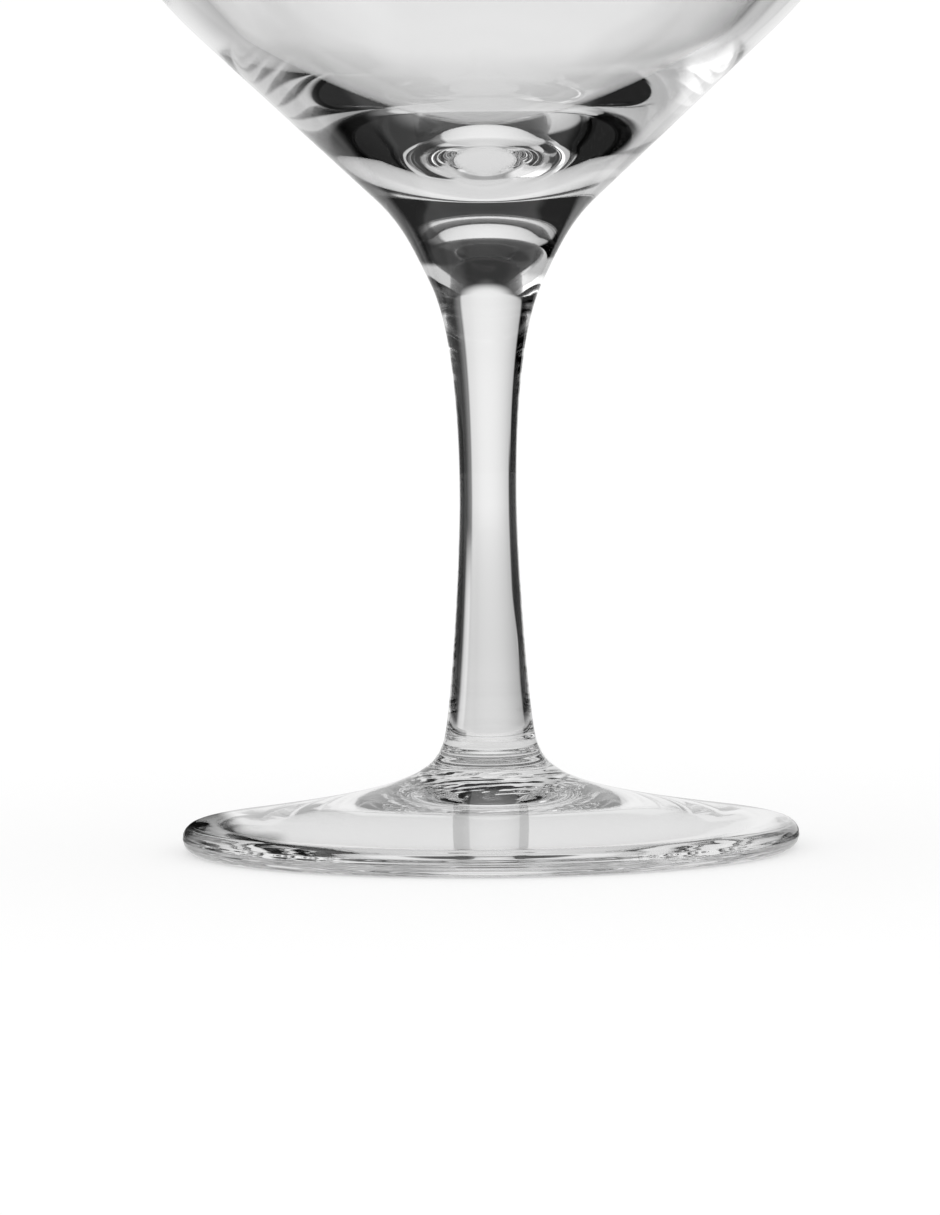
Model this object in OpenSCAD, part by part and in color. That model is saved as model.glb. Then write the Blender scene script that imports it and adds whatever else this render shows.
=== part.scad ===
// Gin glass of the balloon kind: a clear bowl on a drawn stem and a round foot.
// Three pieces of glass are made apart and fused hot, end to end, on one axis.
// The foot stands on the plane z = 0, and the axis is z. Sizes are in millimetres.

/* [Foot] */
// Diameter of the foot
foot_d = 80; // [70:1:95]
// Thickness of the foot at its rounded edge
foot_edge_t = 3.6; // [2.6:0.1:4.6]
// Slope of the foot's upper face just inside the edge, in degrees
foot_slope = 8.5; // [4:0.5:12]
// Height of the foot's neck, where the stem is fused on
foot_neck_h = 14; // [11:0.5:19]
// Rise of the hollow under the foot
foot_hollow = 4.7; // [1:0.1:5.6]
// Width of the flat ring that the foot stands on
foot_ring_w = 8.8; // [4:0.1:12]

/* [Stem] */
// Length of the stem between its two fused joints
stem_l = 59.7; // [48:0.1:83]
// Diameter of the stem and of the foot's neck at their joint
stem_foot_d = 12.1; // [10:0.1:14]
// Flare of the outline at that joint, in degrees from the axis
foot_joint_flare = 16; // [8:1:24]
// Diameter of the stem at its waist
stem_waist_d = 7.4; // [6:0.1:8.4]
// Height of the waist above the foot's neck
stem_waist_h = 32; // [23:0.5:39]
// Diameter of the stem and of the bowl's base at their joint
stem_bowl_d = 14.7; // [12:0.1:18]
// Flare of the outline at that joint, in degrees from the axis
bowl_joint_flare = 26; // [15:1:35]

/* [Bowl] */
// Height of the bowl's neck, from the joint to the start of the cone
bowl_neck_h = 10.8; // [9:0.1:13]
// Outer diameter where the neck runs into the cone
cone_start_d = 28.8; // [26:0.1:31]
// Flare of the cone, in degrees from the axis
cone_flare = 47; // [42:1:52]
// Outer diameter where the cone turns into the belly
cone_end_d = 74; // [62:1:84]
// Outer diameter of the belly, the widest part of the glass
belly_d = 111; // [100:1:120]
// Height from the belly up to the lip
crown_h = 42; // [32:1:54]
// Outer diameter at the lip
lip_d = 93; // [84:1:98]
// Thickness of the solid glass from the joint up to the bottom of the hollow
bowl_base_t = 15.4; // [12:0.1:19]
// How far below level the wall faces where the hollow leaves the belly, in degrees
turn_flare = 28; // [18:1:34]
// Thickness of the wall at that turn
turn_wall = 3.4; // [2.4:0.1:4.4]
// Thickness of the wall at the lip
lip_wall = 1.3; // [1:0.1:1.8]

/* [Hidden] */
$fn = 96;

// Colour of clear glass on a white ground
clear_glass = [0.84, 0.86, 0.87, 0.45];

// Steps along each curved stretch of an outline
curve_steps = 14;
lip_steps = 8;

// Pull of each curve's ends, as a share of the distance that the curve spans
foot_pull_edge = 0.83;
foot_pull_neck = 0.46;
stem_pull_foot = 0.12;
stem_pull_waist = 0.24;
stem_pull_rise = 0.43;
stem_pull_bowl = 0.22;
neck_pull = 0.45;
hollow_pull_wall = 0.33;
hollow_pull_bottom = 0.22;

// Power of the rise under the foot: the higher it is, the flatter the middle
under_power = 3;

// Foot: radii and heights
foot_r = foot_d / 2;
edge_r = foot_edge_t / 2;
ring_out_r = foot_r - edge_r;
ring_in_r = ring_out_r - foot_ring_w;
foot_neck_r = stem_foot_d / 2;
shoulder = [ring_out_r + edge_r * sin(foot_slope), edge_r + edge_r * cos(foot_slope)];
foot_neck = [foot_neck_r, foot_neck_h];
foot_joint_way = [-sin(foot_joint_flare), cos(foot_joint_flare)];

// Stem: both joints and the waist
waist = [stem_waist_d / 2, foot_neck_h + stem_waist_h];
bowl_joint_z = foot_neck_h + stem_l;
bowl_joint = [stem_bowl_d / 2, bowl_joint_z];
bowl_joint_way = [sin(bowl_joint_flare), cos(bowl_joint_flare)];
stem_rise = bowl_joint_z - waist[1];

// Bowl: the outer outline runs up a cone, round the belly and in to the lip
cone_start = [cone_start_d / 2, bowl_joint_z + bowl_neck_h];
cone_way = [sin(cone_flare), cos(cone_flare)];
cone_end = [cone_end_d / 2, cone_start[1] + (cone_end_d - cone_start_d) / 2 / tan(cone_flare)];
belly_arc_r = (belly_d - cone_end_d) / 2 / (1 - cos(cone_flare));
belly_z = cone_end[1] + belly_arc_r * sin(cone_flare);
crown_lean = 2 * atan((belly_d - lip_d) / 2 / crown_h);
crown_arc_r = crown_h / sin(crown_lean);
lip_z = belly_z + crown_h;

// Bowl: the hollow follows the belly down to the turn, and sweeps from there to its bottom
belly_centre = [belly_d / 2 - belly_arc_r, belly_z];
crown_centre = [belly_d / 2 - crown_arc_r, belly_z];
turn_z = belly_z - belly_arc_r * sin(turn_flare);
turn_way = [-sin(turn_flare), -cos(turn_flare)];
hollow_bottom = [0, bowl_joint_z + bowl_base_t];

// A cubic curve from a to d that leaves towards b and arrives from c
function curve(a, b, c, d, steps) = [for (i = [0:steps]) let (t = i / steps, u = 1 - t)
    u * u * u * a + 3 * u * u * t * b + 3 * u * t * t * c + t * t * t * d];

// An arc about a centre, from one angle to another, in degrees
function arc(centre, r, from, to, steps) = [for (i = [0:steps]) let (a = from + (to - from) * i / steps)
    centre + r * [cos(a), sin(a)]];

// The foot's upper face, from the rounded edge in to the neck
function foot_top() = let (across = shoulder[0] - foot_neck_r, up = foot_neck_h - shoulder[1])
    curve(shoulder, shoulder + foot_pull_edge * across * [-cos(foot_slope), sin(foot_slope)],
        foot_neck - foot_pull_neck * up * foot_joint_way, foot_neck, 2 * curve_steps);

// The hollow under the foot, from the standing ring in to the axis
function foot_under() = [for (i = [0:curve_steps]) let (share = 1 - i / curve_steps)
    [ring_in_r * share, foot_hollow * (1 - pow(share, under_power))]];

// The stem's side from the foot's neck in to the waist, and from the waist out to the bowl
function stem_side() = concat(
    curve(foot_neck, foot_neck + stem_pull_foot * stem_waist_h * foot_joint_way,
        waist - [0, stem_pull_waist * stem_waist_h], waist, curve_steps),
    after_first(curve(waist, waist + [0, stem_pull_rise * stem_rise],
        bowl_joint - stem_pull_bowl * stem_rise * bowl_joint_way, bowl_joint, curve_steps)));

// The outside of the bowl's solid neck, from the joint to the cone
function bowl_neck() = curve(bowl_joint, bowl_joint + neck_pull * bowl_neck_h * bowl_joint_way,
    cone_start - neck_pull * bowl_neck_h * cone_way, cone_start, curve_steps);

// Thickness of the wall: it thins from the turn to the lip, fast at first
function wall_at(z) = let (share = (z - turn_z) / (lip_z - turn_z))
    turn_wall + (lip_wall - turn_wall) * share * (2 - share);

// A point of the belly or the crown that faces at an angle a above level, moved in by depth times
// the wall's thickness there: depth 0 is the outside and 1 the inside
function wall_point(centre, r, a, depth) = let (out = [cos(a), sin(a)], on = centre + r * out)
    on - depth * wall_at(on[1]) * out;

// The belly from where it faces at the angle from, below level, and the crown up to the lip
function bowl_wall(from, depth) = concat(
    [for (i = [0:curve_steps]) wall_point(belly_centre, belly_arc_r, from * (1 - i / curve_steps), depth)],
    [for (i = [1:curve_steps]) wall_point(crown_centre, crown_arc_r, crown_lean * i / curve_steps, depth)]);

// The lip, rounded over from the outside of the wall to the inside
function lip() = let (out = [cos(crown_lean), sin(crown_lean)],
        mid = [lip_d / 2, lip_z] - lip_wall / 2 * out)
    inside_of(arc(mid, lip_wall / 2, crown_lean, crown_lean + 180, lip_steps));

// The lower part of the hollow, one sweep from the turn down to the bottom on the axis
function hollow() = let (turn = wall_point(belly_centre, belly_arc_r, -turn_flare, 1))
    after_first(curve(turn, turn + hollow_pull_wall * norm(turn - hollow_bottom) * turn_way,
        hollow_bottom + [hollow_pull_bottom * turn[0], 0], hollow_bottom, 2 * curve_steps));

// A list turned end for end, one without its first point, and one without both its end points
function reversed(list) = [for (i = [len(list) - 1:-1:0]) list[i]];
function after_first(list) = [for (i = [1:len(list) - 1]) list[i]];
function inside_of(list) = [for (i = [1:len(list) - 2]) list[i]];

module turned(outline) {
    rotate_extrude() polygon(outline);
}

module foot() {
    color(clear_glass)
        turned(concat(foot_under(), [[0, foot_neck_h]], reversed(foot_top()),
            after_first(arc([ring_out_r, edge_r], edge_r, 90 - foot_slope, -90, curve_steps))));
}

module stem() {
    color(clear_glass)
        turned(concat([[0, foot_neck_h]], stem_side(), [[0, bowl_joint_z]]));
}

module bowl() {
    color(clear_glass)
        turned(concat([[0, bowl_joint_z]], bowl_neck(), bowl_wall(-cone_flare, 0), lip(),
            reversed(bowl_wall(-turn_flare, 1)), hollow()));
}

bowl();
stem();
foot();
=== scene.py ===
# %% [markdown]
# # A balloon gin glass
#
# The real glass is three pieces of clear glass, made apart and fused while hot: a bowl with a thick
# solid base, a drawn stem and a pressed foot. All that the eye sees in it is light that was bent or
# mirrored on its way through, so this lesson is about exact, smooth surfaces and about the studio that
# they show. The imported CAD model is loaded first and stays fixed, and each piece is made around it.

import bpy
import numpy as np
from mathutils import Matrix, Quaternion, Vector


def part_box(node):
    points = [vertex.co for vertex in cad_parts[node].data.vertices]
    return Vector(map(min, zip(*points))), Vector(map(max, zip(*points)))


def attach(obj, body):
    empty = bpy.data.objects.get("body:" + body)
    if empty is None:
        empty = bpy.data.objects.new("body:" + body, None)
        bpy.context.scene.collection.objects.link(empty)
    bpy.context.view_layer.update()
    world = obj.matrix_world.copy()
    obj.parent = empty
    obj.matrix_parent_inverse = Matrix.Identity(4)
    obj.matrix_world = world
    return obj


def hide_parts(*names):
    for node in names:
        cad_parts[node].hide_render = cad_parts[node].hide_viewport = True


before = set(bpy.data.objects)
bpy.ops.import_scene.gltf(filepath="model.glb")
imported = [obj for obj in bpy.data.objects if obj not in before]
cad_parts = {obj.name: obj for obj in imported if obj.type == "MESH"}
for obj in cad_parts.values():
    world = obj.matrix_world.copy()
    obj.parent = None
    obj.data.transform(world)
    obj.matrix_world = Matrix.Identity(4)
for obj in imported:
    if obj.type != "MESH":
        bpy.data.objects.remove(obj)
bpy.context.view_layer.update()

# %% [markdown]
# ## Sizes
#
# Blender works in metres here and a glassmaker in millimetres, so each size is written in millimetres
# and times MM. They are the sizes that the CAD model was made from. The heights of the two fused joints
# are read from the frame, so that the new pieces meet exactly where the solids do.

# %% Sizes of the glass
MM = 0.001

FOOT_NECK_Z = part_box("foot")[1][2]
BOWL_JOINT_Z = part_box("bowl")[0][2]
print("joints at", round(FOOT_NECK_Z / MM, 2), "and", round(BOWL_JOINT_Z / MM, 2), "mm")

FOOT_R = 40.0 * MM
FOOT_EDGE_R = 1.8 * MM
FOOT_SLOPE = np.radians(8.5)
FOOT_HOLLOW = 4.7 * MM
FOOT_RING_W = 8.8 * MM
UNDER_POWER = 3

STEM_FOOT_R = 6.05 * MM
FOOT_JOINT_FLARE = np.radians(16.0)
STEM_WAIST_R = 3.7 * MM
STEM_WAIST_Z = FOOT_NECK_Z + 32.0 * MM
STEM_BOWL_R = 7.35 * MM
BOWL_JOINT_FLARE = np.radians(26.0)

BOWL_NECK_H = 10.8 * MM
CONE_START_R = 14.4 * MM
CONE_FLARE = np.radians(47.0)
CONE_END_R = 37.0 * MM
BELLY_R = 55.5 * MM
CROWN_H = 42.0 * MM
LIP_R = 46.5 * MM
BOWL_BASE_T = 15.4 * MM
TURN_FLARE = np.radians(28.0)
TURN_WALL = 3.4 * MM
LIP_WALL = 1.3 * MM

# %% [markdown]
# ## Outlines
#
# Each piece is round, so it is one outline carried round the axis. An outline is an array of points
# (distance from the axis, height), made of cubic curves and arcs that leave each other in the same
# direction, because glass shows a kink of a tenth of a degree as a line.

# %% Curves and arcs
SAME_POINT = 1e-9


def cubic(a, b, c, d, steps):
    """Points (1-t)^3 a + 3 (1-t)^2 t b + 3 (1-t) t^2 c + t^3 d, with t running evenly from 0 to 1."""
    a, b, c, d = (np.asarray(point, dtype=float) for point in (a, b, c, d))
    t = np.linspace(0.0, 1.0, steps + 1)[:, None]
    u = 1.0 - t
    return u**3 * a + 3 * u**2 * t * b + 3 * u * t**2 * c + t**3 * d


def arc(centre, radius, start, end, steps):
    """Points centre + radius (cos a, sin a), with the angle a running evenly from start to end."""
    a = np.linspace(start, end, steps + 1)
    return np.asarray(centre) + radius * np.stack([np.cos(a), np.sin(a)], axis=1)


def upward(flare):
    """Direction that rises along the axis and leans out from it by the flare: (sin flare, cos flare)."""
    return np.array([np.sin(flare), np.cos(flare)])


def joined(*stretches):
    """One outline from stretches laid end to end, with points closer than a nanometre merged."""
    line = np.concatenate([np.atleast_2d(stretch) for stretch in stretches])
    apart = np.linalg.norm(np.diff(line, axis=0), axis=1) > SAME_POINT
    return line[np.concatenate([[True], apart])]


def facing(line):
    """Direction that the surface faces at each point: the outline's own slope, turned a right angle.

    The slope is the difference across each point, weighed by the distances, and the outline runs with
    the glass on its left, so the right-hand side (dz, -dr) is the open one."""
    along = np.concatenate([[0.0], np.cumsum(np.linalg.norm(np.diff(line, axis=0), axis=1))])
    slope = np.gradient(line, along, axis=0, edge_order=2)
    open_side = np.stack([slope[:, 1], -slope[:, 0]], axis=1)
    return open_side / np.linalg.norm(open_side, axis=1, keepdims=True)


TRIAL_STEPS = 60
half_circle = arc((0.0, 0.0), 1.0, 0.0, np.pi, TRIAL_STEPS)
chord_middles = np.linalg.norm((half_circle[1:] + half_circle[:-1]) / 2, axis=1)
print(TRIAL_STEPS, "steps round a half circle miss it by", f"{1 - chord_middles.min():.5f}", "of its radius")

# %% [markdown]
# ## From an outline to a mesh
#
# A lathe in numpy: the outline gives one parameter of the grid, and the turn about the axis the other.
# Both ends of the outline lie on the axis, so they become single points and the mesh is closed. Where
# two pieces are fused there is no surface in the real glass, only glass on both sides. The mesh still
# needs a lid there to be a closed body, so that lid gets a material that lets light straight through.
# A renderer guesses which way a smooth surface faces from the faces around each point. The outline
# knows it exactly, so the lathe hands it over, and light runs across a joint without a line.

# %% The lathe
AROUND = 240


def lathe(name, outline, lid_first=False, lid_last=False, relief=None):
    """Mesh of the surface (r cos a, r sin a, z), for (r, z) along the outline and a round the axis.

    The first and last points are poles: a lid closes that end, or else the surface runs through it. A
    relief is a function that moves the points and turns the normals of what isn't quite round."""
    ring = outline[1:-1]
    faces_to = facing(outline[int(lid_first):len(outline) - int(lid_last)])
    faces_to = faces_to[int(not lid_first):len(faces_to) - int(not lid_last)]
    turn = np.arange(AROUND) * (2 * np.pi / AROUND)
    round_axis = np.stack([np.cos(turn), np.sin(turn)], axis=1)

    def carried(pairs):
        """Each pair (r, z), carried round the axis."""
        grid = np.empty((len(pairs), AROUND, 3))
        grid[..., :2] = pairs[:, None, :1] * round_axis
        grid[..., 2] = pairs[:, 1:]
        return grid.reshape(-1, 3)

    poles = [[0.0, 0.0, outline[0, 1]], [0.0, 0.0, outline[-1, 1]]]
    pole_side = [[0.0, 0.0, -1.0], [0.0, 0.0, 1.0]]
    points = np.concatenate([carried(ring), poles])
    normals = np.concatenate([carried(faces_to), pole_side])
    if relief is not None:
        points, normals = relief(points, normals)

    at = np.arange(len(ring) * AROUND).reshape(len(ring), AROUND)
    beside = np.roll(at, -1, axis=1)
    quads = np.stack([at[:-1], beside[:-1], beside[1:], at[1:]], axis=-1).reshape(-1, 4)
    first = np.full(AROUND, len(points) - 2)
    last = np.full(AROUND, len(points) - 1)
    fans = np.concatenate([np.stack([first, beside[0], at[0]], axis=-1),
                           np.stack([at[-1], beside[-1], last], axis=-1)])

    mesh = bpy.data.meshes.new(name)
    corners = np.concatenate([quads.ravel(), fans.ravel()])
    sizes = np.concatenate([np.full(len(quads), 4), np.full(len(fans), 3)])
    is_lid = np.concatenate([np.zeros(len(quads)), np.repeat([lid_first, lid_last], AROUND)])
    mesh.vertices.add(len(points))
    mesh.vertices.foreach_set("co", points.ravel())
    mesh.loops.add(len(corners))
    mesh.loops.foreach_set("vertex_index", corners)
    mesh.polygons.add(len(sizes))
    mesh.polygons.foreach_set("loop_start", np.cumsum(sizes) - sizes)
    mesh.polygons.foreach_set("material_index", is_lid.astype(np.int32))
    mesh.polygons.foreach_set("use_smooth", np.ones(len(sizes), dtype=bool))
    mesh.update(calc_edges=True)
    mesh.normals_split_custom_set_from_vertices(normals)

    piece = bpy.data.objects.new(name, mesh)
    bpy.context.scene.collection.objects.link(piece)
    print(name, "has", len(points), "points and", int((sizes - 2).sum()), "triangles")
    return piece


# %% [markdown]
# ## The foot
#
# A gather of hot glass is pressed into a round plate and drawn up into a short trumpet. It stands on a
# broad ring at its edge, because the underside is domed up inside that ring, and its edge is rounded by
# the fire. A disc and a bevel would come close, but one outline keeps every passage smooth. The tools leave
# faint rings round the trumpet's neck and ripples of a hundredth of a millimetre round the edge. Both are
# added to the outline, and the ripples draw what is seen through the edge out into level streaks.

# %% The foot's outline
# Pull of a curve's ends, as a share of the distance that the curve spans
FOOT_PULL_EDGE, FOOT_PULL_NECK = 0.83, 0.46
UNDER_STEPS, EDGE_STEPS, TRUMPET_STEPS = 120, 60, 200
NECK_RINGS = np.array([13.1, 12.0, 10.4]) * MM
NECK_RING_RISE = 0.04 * MM
NECK_RING_W = 0.35 * MM
EDGE_RIPPLES = np.array([5, 8])
EDGE_RIPPLE_RISE = 0.014 * MM


def foot_outline():
    """Under the hollow, over the standing ring, round the edge and up the trumpet to the joint.

    The hollow's height is its rise times 1 - share^3, and the trumpet is one cubic curve. A ring at the
    height c lifts the trumpet along its normal by the rise times exp(-((z - c) / width)^2). Ripples lift the
    edge by sin(pi t)^2 times the sum of sin(2 pi n t + n), with t from 0 to 1 along it."""
    ring_r = FOOT_R - FOOT_EDGE_R
    share = np.linspace(0.0, 1.0, UNDER_STEPS + 1)[:, None]
    under = np.concatenate([(ring_r - FOOT_RING_W) * share, FOOT_HOLLOW * (1 - share**UNDER_POWER)], axis=1)
    edge = arc((ring_r, FOOT_EDGE_R), FOOT_EDGE_R, -np.pi / 2, np.pi / 2 - FOOT_SLOPE, EDGE_STEPS)
    t = np.linspace(0.0, 1.0, len(edge))[:, None]
    ripples = np.sin(2 * np.pi * EDGE_RIPPLES * t + EDGE_RIPPLES).sum(axis=1, keepdims=True)
    edge = edge + EDGE_RIPPLE_RISE * np.sin(np.pi * t)**2 * ripples * facing(edge)
    shoulder = edge[-1]
    neck = np.array([STEM_FOOT_R, FOOT_NECK_Z])
    inward = np.array([-np.cos(FOOT_SLOPE), np.sin(FOOT_SLOPE)])
    across, up = shoulder[0] - neck[0], neck[1] - shoulder[1]
    inside_edge = shoulder + FOOT_PULL_EDGE * across * inward
    below_neck = neck - FOOT_PULL_NECK * up * upward(-FOOT_JOINT_FLARE)
    trumpet = cubic(shoulder, inside_edge, below_neck, neck, TRUMPET_STEPS)
    ridges = np.exp(-((trumpet[:, 1:] - NECK_RINGS) / NECK_RING_W)**2).sum(axis=1, keepdims=True)
    trumpet = trumpet + NECK_RING_RISE * ridges * facing(trumpet)
    return joined(under, edge, trumpet, (0.0, FOOT_NECK_Z))


foot_line = foot_outline()
foot_reach = round(foot_line[:, 0].max() / MM, 3)
print("the foot's outline has", len(foot_line), "points and reaches", foot_reach, "mm from the axis")

# %% [markdown]
# ### The mark under the foot
#
# While the glass is worked, a rod holds it by the middle of the foot, and breaking it off leaves a rough
# spot that the fire only partly smooths. Seen from the side it is the handful of sparks under the stem.
# It could be a bump in the material, but then the mesh would be bare, so the points themselves are moved.

# %% Dimples of the mark
MARK_IN, MARK_OUT = 7.0 * MM, 12.0 * MM
MARK_DEPTH = 0.035 * MM
MARK_WAVES, MARK_WAVE_MM = 14, (1.5, 3.0)
MARK_SEED = 7


def rod_mark(points, normals):
    """Moves the middle of the underside by a sum of plane waves, depth sin(k . p + phase), that fades out.

    The fade is a smooth step 3 t^2 - 2 t^3 over the distance from the axis. The surface faces down, so its
    normal gains the slope of that sum."""
    chance = np.random.default_rng(MARK_SEED)
    way = chance.uniform(0.0, 2 * np.pi, MARK_WAVES)
    length = chance.uniform(*MARK_WAVE_MM, MARK_WAVES) * MM
    phase = chance.uniform(0.0, 2 * np.pi, MARK_WAVES)
    k = 2 * np.pi / length * np.stack([np.cos(way), np.sin(way)])
    depth = MARK_DEPTH / np.sqrt(MARK_WAVES / 2)

    reach = np.linalg.norm(points[:, :2], axis=1)
    t = np.clip((MARK_OUT - reach) / (MARK_OUT - MARK_IN), 0.0, 1.0)
    fade = np.where(normals[:, 2] < 0.0, t**2 * (3 - 2 * t), 0.0)[:, None]
    angle = points[:, :2] @ k + phase
    points, normals = points.copy(), normals.copy()
    points[:, 2:] += depth * fade * np.sin(angle).sum(axis=1, keepdims=True)
    normals[:, :2] += depth * fade * (np.cos(angle) @ k.T)
    print("dimples under", int((fade > 0).sum()), "points of the foot")
    return points, normals / np.linalg.norm(normals, axis=1, keepdims=True)


foot = lathe("foot_body", foot_line, lid_last=True, relief=rod_mark)

# %% [markdown]
# ## The stem
#
# The stem is drawn from a rod while it is soft, which leaves a slow waist and no straight stretch. Two
# cubic curves meet upright at the waist, and the upper one leaves with the flare of the bowl's base.

# %% The stem's outline
STEM_PULL_FOOT, STEM_PULL_WAIST = 0.12, 0.24
STEM_PULL_RISE, STEM_PULL_BOWL = 0.43, 0.22
STEM_STEPS = 90


def stem_outline():
    """From the foot's joint in to the waist and out to the bowl's joint: two cubic curves, end to end."""
    low = np.array([STEM_FOOT_R, FOOT_NECK_Z])
    waist = np.array([STEM_WAIST_R, STEM_WAIST_Z])
    high = np.array([STEM_BOWL_R, BOWL_JOINT_Z])
    drop, climb = waist[1] - low[1], high[1] - waist[1]
    above_foot = low + STEM_PULL_FOOT * drop * upward(-FOOT_JOINT_FLARE)
    lower = cubic(low, above_foot, waist - (0.0, STEM_PULL_WAIST * drop), waist, STEM_STEPS)
    below_bowl = high - STEM_PULL_BOWL * climb * upward(BOWL_JOINT_FLARE)
    upper = cubic(waist, waist + (0.0, STEM_PULL_RISE * climb), below_bowl, high, STEM_STEPS)
    return joined((0.0, FOOT_NECK_Z), lower, upper, (0.0, BOWL_JOINT_Z))


stem = lathe("stem_body", stem_outline(), lid_first=True, lid_last=True)

# %% [markdown]
# ## The bowl
#
# The bowl's outside is a cone that turns into a round belly and draws in to the lip. Its inside isn't the
# outside moved in: the blower leaves a heavy base, so the hollow sweeps down from the belly to a narrow
# bottom, and the glass between the two acts as a lens. That lens makes the dark ovals and the bright
# crescent low in the bowl, so its shape matters more than any setting of the material.

# %% The bowl's outline
NECK_PULL = 0.45
HOLLOW_PULL_WALL, HOLLOW_PULL_BOTTOM = 0.33, 0.22
NECK_STEPS, CONE_STEPS, BELLY_STEPS, CROWN_STEPS = 60, 29, 60, 45
LIP_STEPS, HOLLOW_STEPS = 14, 100
LITRES_PER_M3 = 1000


def litres(line):
    """Volume of the hollow inside a line of (r, z): the sum of discs of area pi r^2."""
    area = np.pi * line[:, 0]**2
    return float(np.sum((area[1:] + area[:-1]) / 2 * -np.diff(line[:, 1]))) * LITRES_PER_M3


def bowl_outline():
    """Out along the neck, up the cone, round the belly, in to the lip and back down the inside.

    Down to the turn, the inside is the outside moved in by the wall's thickness, which goes from the turn
    to the lip as share (2 - share). Below it the inside is one cubic curve to the bottom on the axis."""
    joint = np.array([STEM_BOWL_R, BOWL_JOINT_Z])
    start = np.array([CONE_START_R, BOWL_JOINT_Z + BOWL_NECK_H])
    pull = NECK_PULL * BOWL_NECK_H
    above_joint = joint + pull * upward(BOWL_JOINT_FLARE)
    below_cone = start - pull * upward(CONE_FLARE)
    neck = cubic(joint, above_joint, below_cone, start, NECK_STEPS)

    end_z = start[1] + (CONE_END_R - CONE_START_R) / np.tan(CONE_FLARE)
    belly_arc = (BELLY_R - CONE_END_R) / (1 - np.cos(CONE_FLARE))
    belly_z = end_z + belly_arc * np.sin(CONE_FLARE)
    lip_z = belly_z + CROWN_H
    crown_lean = 2 * np.arctan((BELLY_R - LIP_R) / CROWN_H)
    crown_arc = CROWN_H / np.sin(crown_lean)

    def wall(start_angle, depth):
        """The belly and the crown, moved in by depth times the wall's thickness there."""
        belly = np.linspace(start_angle, 0.0, BELLY_STEPS + 1)
        crown = np.linspace(0.0, crown_lean, CROWN_STEPS + 1)[1:]
        angle = np.concatenate([belly, crown])[:, None]
        radius = np.concatenate([np.full_like(belly, belly_arc), np.full_like(crown, crown_arc)])[:, None]
        out = np.concatenate([np.cos(angle), np.sin(angle)], axis=1)
        on = np.concatenate([BELLY_R - radius, np.full_like(radius, belly_z)], axis=1) + radius * out
        turn_z = belly_z - belly_arc * np.sin(TURN_FLARE)
        share = (on[:, 1:] - turn_z) / (lip_z - turn_z)
        return on - depth * (TURN_WALL + (LIP_WALL - TURN_WALL) * share * (2 - share)) * out

    outside = wall(-CONE_FLARE, 0.0)
    inside = wall(-TURN_FLARE, 1.0)[::-1]
    lip = arc((outside[-1] + inside[0]) / 2, LIP_WALL / 2, crown_lean, crown_lean + np.pi, LIP_STEPS)

    turn, bottom = inside[-1], np.array([0.0, BOWL_JOINT_Z + BOWL_BASE_T])
    below_turn = turn - HOLLOW_PULL_WALL * np.linalg.norm(turn - bottom) * upward(TURN_FLARE)
    beside_bottom = bottom + (HOLLOW_PULL_BOTTOM * turn[0], 0.0)
    hollow = cubic(turn, below_turn, beside_bottom, bottom, HOLLOW_STEPS)
    print("the bowl holds", round(litres(np.concatenate([inside, hollow])), 3), "litres to the lip")
    cone = np.linspace(start, outside[0], CONE_STEPS + 1)
    return joined((0.0, BOWL_JOINT_Z), neck, cone, outside, lip, inside, hollow)


bowl = lathe("bowl_body", bowl_outline(), lid_first=True)

# %% [markdown]
# ## Shader maths
#
# Node trees get long when each node is placed by hand. A small class wraps one socket, so that sums are
# written as Python expressions and each adds its Math node. Every other node comes from one method. The
# first material made with it is the shortest: the lid at a fused joint, which lets light straight through.

# %% Wires between nodes
class Wire:
    """One socket of a node tree. Operators add Math nodes, and node() adds a node of any other kind."""

    def __init__(self, tree, socket=None):
        self.tree = tree
        self.socket = socket

    def node(self, kind, settings=None, sockets=None, out=0):
        """A new node: its settings first, with a ramp's stops as (place, level), then its sockets."""
        made = self.tree.nodes.new("ShaderNode" + kind)
        for name, value in (settings or {}).items():
            if name == "stops":
                self.set_stops(made.color_ramp.elements, value)
            else:
                setattr(made, name, value)
        for name, value in (sockets or {}).items():
            self.join(value, made.inputs[name])
        return Wire(self.tree, made.outputs[out])

    def beside(self, out):
        """Another output of the same node."""
        return Wire(self.tree, self.socket.node.outputs[out])

    def join(self, value, socket):
        """Links a wire to a socket, or sets the socket's own value."""
        if isinstance(value, Wire):
            self.tree.links.new(value.socket, socket)
        else:
            socket.default_value = value

    @staticmethod
    def set_stops(elements, stops):
        """Puts grey stops on a colour ramp."""
        for _ in range(len(stops) - len(elements)):
            elements.new(1.0)
        for element, (place, level) in zip(elements, stops):
            element.position = place
            element.color = (level, level, level, 1.0)

    def maths(self, operation, *values):
        """A Math node with these values or wires."""
        return self.node("Math", {"operation": operation}, dict(enumerate(values)))

    def __add__(self, other):
        return self.maths("ADD", self, other)

    def __sub__(self, other):
        return self.maths("SUBTRACT", self, other)

    def __rsub__(self, other):
        return self.maths("SUBTRACT", other, self)

    def __mul__(self, other):
        return self.maths("MULTIPLY", self, other)

    __radd__ = __add__
    __rmul__ = __mul__


# %% New materials
def new_material(name):
    """A material with an empty tree, and the wire that starts it."""
    material = bpy.data.materials.new(name)
    material.use_nodes = True
    material.node_tree.nodes.clear()
    return material, Wire(material.node_tree)


def set_surface(tree, shader, output="OutputMaterial"):
    """Joins a shader to the tree's surface."""
    tree.join(shader, tree.tree.nodes.new("ShaderNode" + output).inputs["Surface"])


def open_joint(name):
    """The lid at a fused joint, which lets light straight through."""
    material, tree = new_material(name)
    set_surface(tree, tree.node("BsdfTransparent"))
    return material


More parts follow.
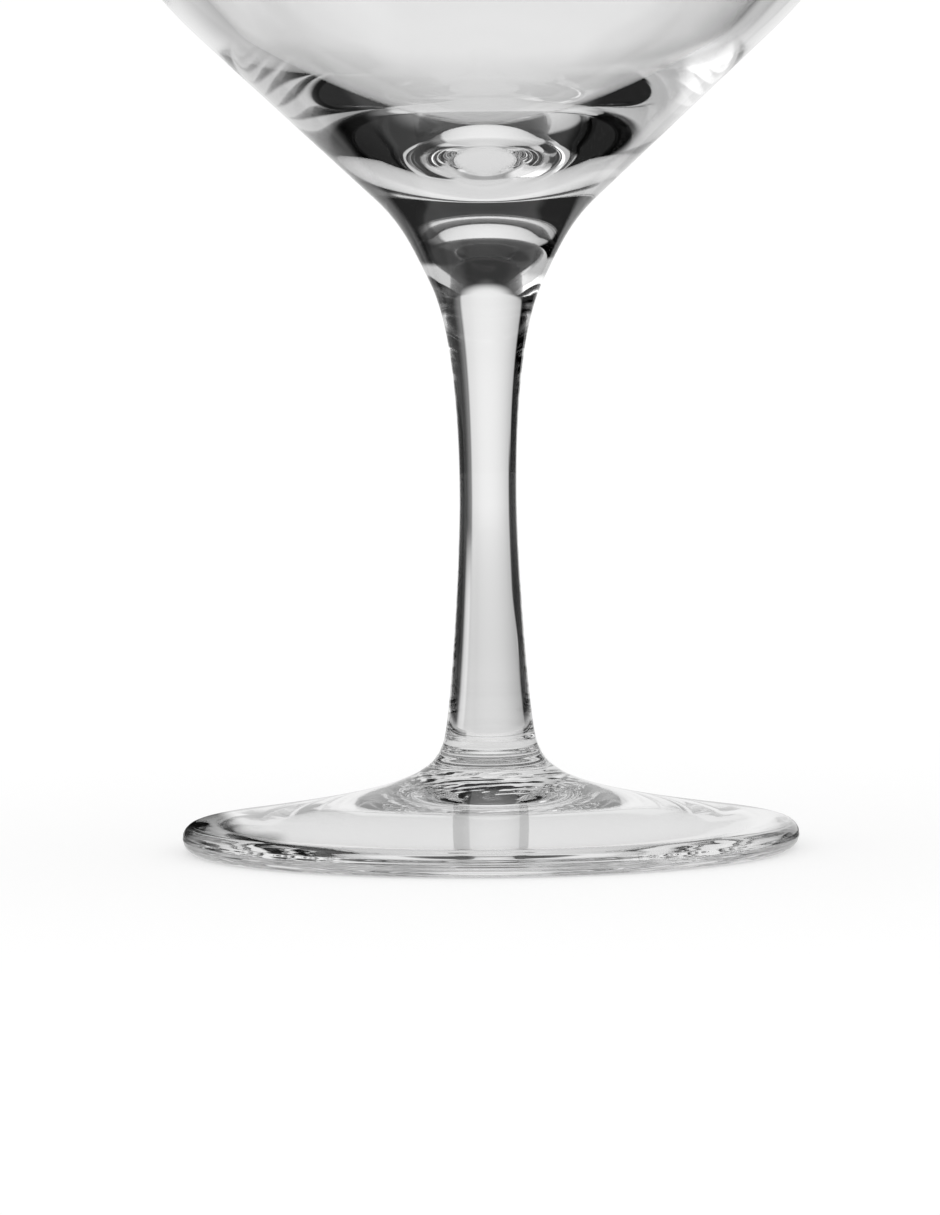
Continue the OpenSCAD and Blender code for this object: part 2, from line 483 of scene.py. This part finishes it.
fused_joint = open_joint("fused_joint")
print(fused_joint.name, "has", len(fused_joint.node_tree.nodes), "nodes")

# %% [markdown]
# ## Clear glass
#
# Drawn glass is never quite even: its skin has long, very shallow waves from the tools and the fire. They
# are too shallow to see as shapes and still make the reflections tremble, so they are a bump of a few
# thousandths of a millimetre. The colour is all but white, and a little of each pass of light is lost.

# %% Glass
GLASS_IOR = 1.52
CLOUD_SCALE = 30.0
TINT_STOPS = [(0.3, 0.975), (0.7, 1.0)]
MOST_ROUGH = 0.02


def clear_glass(name, wave_mm, wave_depth_mm):
    """Clear glass with waves of the given length and depth in its skin."""
    material, tree = new_material(name)
    place = tree.node("TexCoord", out="Object")
    waves = tree.node("TexNoise", sockets={"Vector": place, "Scale": 1.0 / (wave_mm * MM), "Detail": 1.0})
    cloud = tree.node("TexNoise", sockets={"Vector": place, "Scale": CLOUD_SCALE, "Detail": 2.0})
    skin = tree.node("Bump", sockets={"Height": waves, "Distance": wave_depth_mm * MM}, out="Normal")
    tint = tree.node("ValToRGB", {"stops": TINT_STOPS}, {"Fac": cloud})
    shader = tree.node("BsdfPrincipled", sockets={
        "Base Color": tint, "Roughness": cloud * MOST_ROUGH, "Normal": skin,
        "IOR": GLASS_IOR, "Transmission Weight": 1.0}, out="BSDF")
    set_surface(tree, shader)
    return material


for piece, node, slot, wave_mm, depth_mm in ((foot, "foot", "foot_glass", 9.0, 0.004),
                                             (stem, "stem", "stem_glass", 14.0, 0.008),
                                             (bowl, "bowl", "bowl_glass", 16.0, 0.008)):
    piece.data.materials.append(clear_glass(slot, wave_mm, depth_mm))
    piece.data.materials.append(fused_joint)
    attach(piece, "root")
    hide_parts(node)
    print(piece.name, "stands for", node, "and is", slot)

# %% [markdown]
# ## The studio
#
# A glass on white needs something dark beside it, or its edges vanish. A photographer hangs a bright sheet
# behind it that is little wider than the picture, leaves the room dark beside and above the sheet, and
# sets a lamp at one side for the highlights. Such a room could be built from panels. Here it is a few
# formulas that the world and the floor share, so that the room runs on across the horizon without a seam.
# Directions are in degrees round the axis, from straight ahead (+Y) and growing to the right (+X).

# %% Directions
def azimuth(place):
    """Degrees round the axis of a place or a direction: the angle whose tangent is x / y."""
    x = place.node("SeparateXYZ", sockets={"Vector": place}, out="X")
    return x.maths("ARCTAN2", x, x.beside("Y")) * (180 / np.pi)


def rise(value, start, end):
    """0 up to the start, 1 from the end on, and a smooth step between."""
    return value.node("MapRange", {"interpolation_type": "SMOOTHSTEP"},
                      {"Value": value, "From Min": start, "From Max": end})


def between(value, low, high, soft_low, soft_high):
    """1 between low and high and 0 outside, with an edge that is soft to both sides of each."""
    return rise(value, low - soft_low, low + soft_low) * (1 - rise(value, high - soft_high, high + soft_high))


quarters = np.array([0.25, 0.5, 0.75])
risen = quarters**2 * (3 - 2 * quarters)
print("at each quarter of its way a smooth step has risen to", risen.round(2).tolist())

# %% Parts of the room
# The level of each part, the directions that it lies between and how soft it is at the one and the other
SHEET_LEVEL, SHEET_FALL = 0.90, 2.5
SHEET_LEFT, SHEET_RIGHT, SHEET_SOFT = -40, 25, (2, 2)
SPILL_LEVEL, SPILL_LEFT, SPILL_RIGHT, SPILL_SOFT = 0.25, 26, 31, (2, 9)
WALL_LEVEL, WALL_LEFT, WALL_RIGHT, WALL_SOFT = 0.58, -100, -70, (6, 4)
LAMP_LEFT, LAMP_SOFT = -130, (12, 6)
PALE_LEVEL, PALE_LEFT, PALE_RIGHT, PALE_SOFT = 0.62, 80, 125, (6, 15)
BEHIND_LEVEL, BEHIND_LEFT, BEHIND_RIGHT, BEHIND_SOFT = 0.35, 125, -135, (15, 15)


def sheet(turn):
    """The bright sheet: its light falls off with a power of the cosine, and spills over at the right."""
    ahead = turn.maths("MAXIMUM", turn.maths("COSINE", turn * (np.pi / 180)), 0.0)
    light = SHEET_LEVEL * turn.maths("POWER", ahead, SHEET_FALL)
    spill = SPILL_LEVEL * between(turn, SPILL_LEFT, SPILL_RIGHT, *SPILL_SOFT)
    return light * between(turn, SHEET_LEFT, SHEET_RIGHT, *SHEET_SOFT) + spill


def lamp_side(turn, lamp_level):
    """The left: a pale wall, and past it the lamp."""
    wall = WALL_LEVEL * between(turn, WALL_LEFT, WALL_RIGHT, *WALL_SOFT)
    return wall + lamp_level * between(turn, LAMP_LEFT, WALL_LEFT, *LAMP_SOFT)


def pale_side(turn):
    """The right, where the table is pale and the room above it is dark."""
    return PALE_LEVEL * between(turn, PALE_LEFT, PALE_RIGHT, *PALE_SOFT)


def behind_camera(turn):
    """The dim room behind the camera."""
    return BEHIND_LEVEL * (1 - between(turn, BEHIND_RIGHT, BEHIND_LEFT, *BEHIND_SOFT))


def seen_in_glass(tree):
    """1 for a ray that comes off or through glass, and 0 for the camera's own and for the floor's light."""
    off = tree.node("LightPath", out="Is Glossy Ray")
    return off.maths("MAXIMUM", off, off.beside("Is Transmission Ray"))


print("the sheet is", SHEET_RIGHT - SHEET_LEFT, "degrees wide, and dark gaps of",
      SHEET_LEFT - WALL_RIGHT, "and", PALE_LEFT - SPILL_RIGHT, "degrees are beside it")

# %% [markdown]
# ## The world
#
# Only rays that come off the glass or through it see the room. The camera sees plain white around the
# glass, and the light that falls on the floor is plain white too. Each part of the room ends at its own
# height above the horizon, given as the degrees between which it fades.

# %% The world
SHEET_TOP = 28, 33
LAMP_TOP = 18, 26
PALE_TOP = 1, 5
BEHIND_TOP = 20, 40
SKY_LAMP_LEVEL = 1.5
CEILING_LEVEL = 0.02


def studio_world():
    """White for the camera, and in the glass the sum of the room's parts, each up to its own height."""
    world = bpy.data.worlds.new("studio")
    world.use_nodes = True
    world.node_tree.nodes.clear()
    sky = Wire(world.node_tree)
    direction = sky.node("TexCoord", out="Generated")
    up = sky.node("SeparateXYZ", sockets={"Vector": direction}, out="Z")
    height = up.maths("ARCSINE", up) * (180 / np.pi)
    turn = azimuth(direction)
    over_sheet = rise(height, *SHEET_TOP)
    room = (sheet(turn) * (1 - over_sheet) + CEILING_LEVEL * over_sheet
            + lamp_side(turn, SKY_LAMP_LEVEL) * (1 - rise(height, *LAMP_TOP))
            + pale_side(turn) * (1 - rise(height, *PALE_TOP))
            + behind_camera(turn) * (1 - rise(height, *BEHIND_TOP)))
    glassy = seen_in_glass(sky)
    set_surface(sky, sky.node("Background", sockets={"Color": room * glassy + (1 - glassy)}), "OutputWorld")
    print("the room ends", SHEET_TOP[1], "degrees up, in", len(world.node_tree.nodes), "nodes")
    return world


bpy.context.scene.world = studio_world()

# %% [markdown]
# ## The floor
#
# The table is one white sheet that runs far past the picture. To the camera it is plain paper that keeps
# the soft shadow of the glass. Seen in the glass it carries the room's levels on. Under the foot it is
# evenly lit. Left of the bright sheet it is dark close by and pale from there out to about half a metre,
# and right of it a narrow strip is pale from the foot on.

# %% The floor
FLOOR_HALF = 30.0
FLOOR_DROP = 0.05 * MM
FLOOR_LAMP_LEVEL = 0.9
NEAR_LEVEL = 0.74
NEAR_REACH = 40 * MM, 60 * MM
SHEET_NEAR, SHEET_REACH = 0.80, (150 * MM, 600 * MM)
LEFT_NEAR, LEFT_FAR, LEFT_REACH = 0.10, 0.62, (100 * MM, 150 * MM)
LEFT_END, LEFT_SOFT = (470 * MM, 530 * MM), (4, 2)
RIGHT_LEVEL, RIGHT_EDGE, RIGHT_REACH, RIGHT_SOFT = 0.6, 36, (200 * MM, 420 * MM), (2, 4)
BEHIND_GAIN, BEHIND_REACH = 0.8, (90 * MM, 200 * MM)
PAPER_COLOUR = (0.5, 0.5, 0.5, 1.0)
PAPER_GLOW = 0.53


def white_table():
    """Plain paper for the camera, and in the glass the room's levels, which change with the reach."""
    material, tree = new_material("white_table")
    spot = tree.node("TexCoord", out="Object")
    reach = tree.node("VectorMath", {"operation": "LENGTH"}, {0: spot}, out="Value")
    turn = azimuth(spot)
    under_sheet = sheet(turn) * (SHEET_NEAR + (1 - SHEET_NEAR) * rise(reach, *SHEET_REACH))
    left = (LEFT_NEAR + (LEFT_FAR - LEFT_NEAR) * rise(reach, *LEFT_REACH)) * (1 - rise(reach, *LEFT_END))
    left_gap = left * between(turn, WALL_RIGHT, SHEET_LEFT, *LEFT_SOFT)
    right = RIGHT_LEVEL * (1 - rise(reach, *RIGHT_REACH))
    right_strip = right * between(turn, SHEET_RIGHT, RIGHT_EDGE, *RIGHT_SOFT)
    behind = behind_camera(turn) * (1 + BEHIND_GAIN * rise(reach, *BEHIND_REACH))
    room = (under_sheet + left_gap + right_strip + lamp_side(turn, FLOOR_LAMP_LEVEL)
            + pale_side(turn) + behind)
    away = rise(reach, *NEAR_REACH)
    shown = tree.node("Emission", sockets={"Color": room * away + NEAR_LEVEL * (1 - away)})
    paper = tree.node("BsdfDiffuse", sockets={"Color": PAPER_COLOUR})
    glow = tree.node("Emission", sockets={"Strength": PAPER_GLOW})
    plain = tree.node("AddShader", sockets={0: paper, 1: glow})
    set_surface(tree, tree.node("MixShader", sockets={0: seen_in_glass(tree), 1: plain, 2: shown}))
    return material


def stage_sheet(name, corners, material):
    """A flat piece of the studio between four corners, which is no part of the glass."""
    mesh = bpy.data.meshes.new(name)
    mesh.from_pydata(corners, [], [(0, 1, 2, 3)])
    mesh.materials.append(material)
    made = bpy.data.objects.new(name, mesh)
    bpy.context.scene.collection.objects.link(made)
    print(name, "spans", np.round(made.dimensions, 3).tolist(), "m")
    return made


signs = ((-1, -1), (1, -1), (1, 1), (-1, 1))
stage_sheet("floor", [(x * FLOOR_HALF, y * FLOOR_HALF, -FLOOR_DROP) for x, y in signs], white_table())

# %% [markdown]
# ## A painted dark reflection
#
# Behind the glass, low on the left, stands a small black card. It is what the stem's right edge shows, and
# like the rest of the room it is seen in the glass only: the camera, the floor's light and shadows pass
# through it, so its black is a painted dark reflection. It is wider above the foot, so that the foot stays
# light. Its edges fade, so that the lenses in the glass show no hard line.

# %% The card
CARD_REACH = 60 * MM
CARD_ENDS = np.radians([-74.0, -28.0])
CARD_LOW, CARD_HIGH = 2 * MM, 56 * MM
CARD_LEFT, CARD_RIGHT = -67, -33
CARD_WIDENS = 16 * MM, 26 * MM
CARD_SOFT, CARD_FADE = (6, 2), (1 * MM, 5 * MM)
# The card's black is a painted dark reflection, seen only in the glass
BLACK = (0.01, 0.01, 0.01, 1.0)


def painted_dark_reflection():
    """Painted dark reflection: matt black in the middle of the card, and clear towards its edges."""
    material, tree = new_material("painted_dark_reflection")
    spot = tree.node("TexCoord", out="Object")
    level = tree.node("SeparateXYZ", sockets={"Vector": spot}, out="Z")
    right_edge = SHEET_LEFT + (CARD_RIGHT - SHEET_LEFT) * rise(level, *CARD_WIDENS)
    cover = (between(azimuth(spot), CARD_LEFT, right_edge, *CARD_SOFT)
             * between(level, CARD_LOW, CARD_HIGH - CARD_FADE[1], *CARD_FADE))
    clear, dark = tree.node("BsdfTransparent"), tree.node("BsdfDiffuse", sockets={"Color": BLACK})
    set_surface(tree, tree.node("MixShader", sockets={0: cover, 1: clear, 2: dark}))
    return material


left_end, right_end = (CARD_REACH * np.stack([np.sin(CARD_ENDS), np.cos(CARD_ENDS)], axis=1)).tolist()
card_corners = [(*left_end, 0.0), (*right_end, 0.0), (*right_end, CARD_HIGH), (*left_end, CARD_HIGH)]
card = stage_sheet("dark_reflection_card", card_corners, painted_dark_reflection())
# Hidden from the camera, the floor's light and shadows: only the glass shows its painted dark reflection
card.visible_camera = False
card.visible_diffuse = False
card.visible_shadow = False

# %% [markdown]
# ## The camera
#
# The photograph was taken from a little above the foot, with a long lens, and the glass leans in it by
# half a degree. Its scale is known from the foot, so the lens follows from the distance.

# %% The camera
PHOTO_W, PHOTO_H = 940, 1215
PIXELS_PER_MM, UP_PIXELS_PER_MM = 7.7, 7.66
AXIS_X, TABLE_Y = 489.0, 847.9
DISTANCE = 1.3
SENSOR_MM = 36.0
NEAREST, FARTHEST = 0.01, 100.0
ELEVATION = np.radians(5.5)
ROLL = np.radians(-0.5)

aim = Vector(((PHOTO_W / 2 - AXIS_X) / PIXELS_PER_MM * MM, 0.0,
              (TABLE_Y - PHOTO_H / 2) / UP_PIXELS_PER_MM * MM))
eye = DISTANCE * Vector((0.0, -np.cos(ELEVATION), np.sin(ELEVATION)))
lens = bpy.data.cameras.new("camera")
lens.sensor_width = SENSOR_MM
lens.lens = SENSOR_MM * DISTANCE / (PHOTO_H / PIXELS_PER_MM * MM)
lens.clip_start, lens.clip_end = NEAREST, FARTHEST
camera = bpy.data.objects.new("camera", lens)
camera.location = eye
camera.rotation_mode = "QUATERNION"
camera.rotation_quaternion = (aim - eye).to_track_quat("-Z", "Y") @ Quaternion((0, 0, 1), ROLL)
bpy.context.scene.collection.objects.link(camera)
bpy.context.scene.camera = camera
print("lens of", round(lens.lens), "mm, aimed", round(aim.z / MM), "mm up the axis")

# %% [markdown]
# ## Light paths
#
# Light crosses this glass many times before it leaves: a ray that enters the stem's base meets a dozen
# surfaces. A path that is cut short ends in black, so the limits are higher than usual. The lids at the
# joints count apart, as transparent steps.

# %% Light paths
GLASS_STEPS, LID_STEPS = 24, 48

scene = bpy.context.scene
scene.view_settings.view_transform = "Standard"
scene.cycles.max_bounces = GLASS_STEPS
scene.cycles.transmission_bounces = GLASS_STEPS
scene.cycles.glossy_bounces = GLASS_STEPS
scene.cycles.transparent_max_bounces = LID_STEPS
print("a path may have", scene.cycles.max_bounces, "steps")
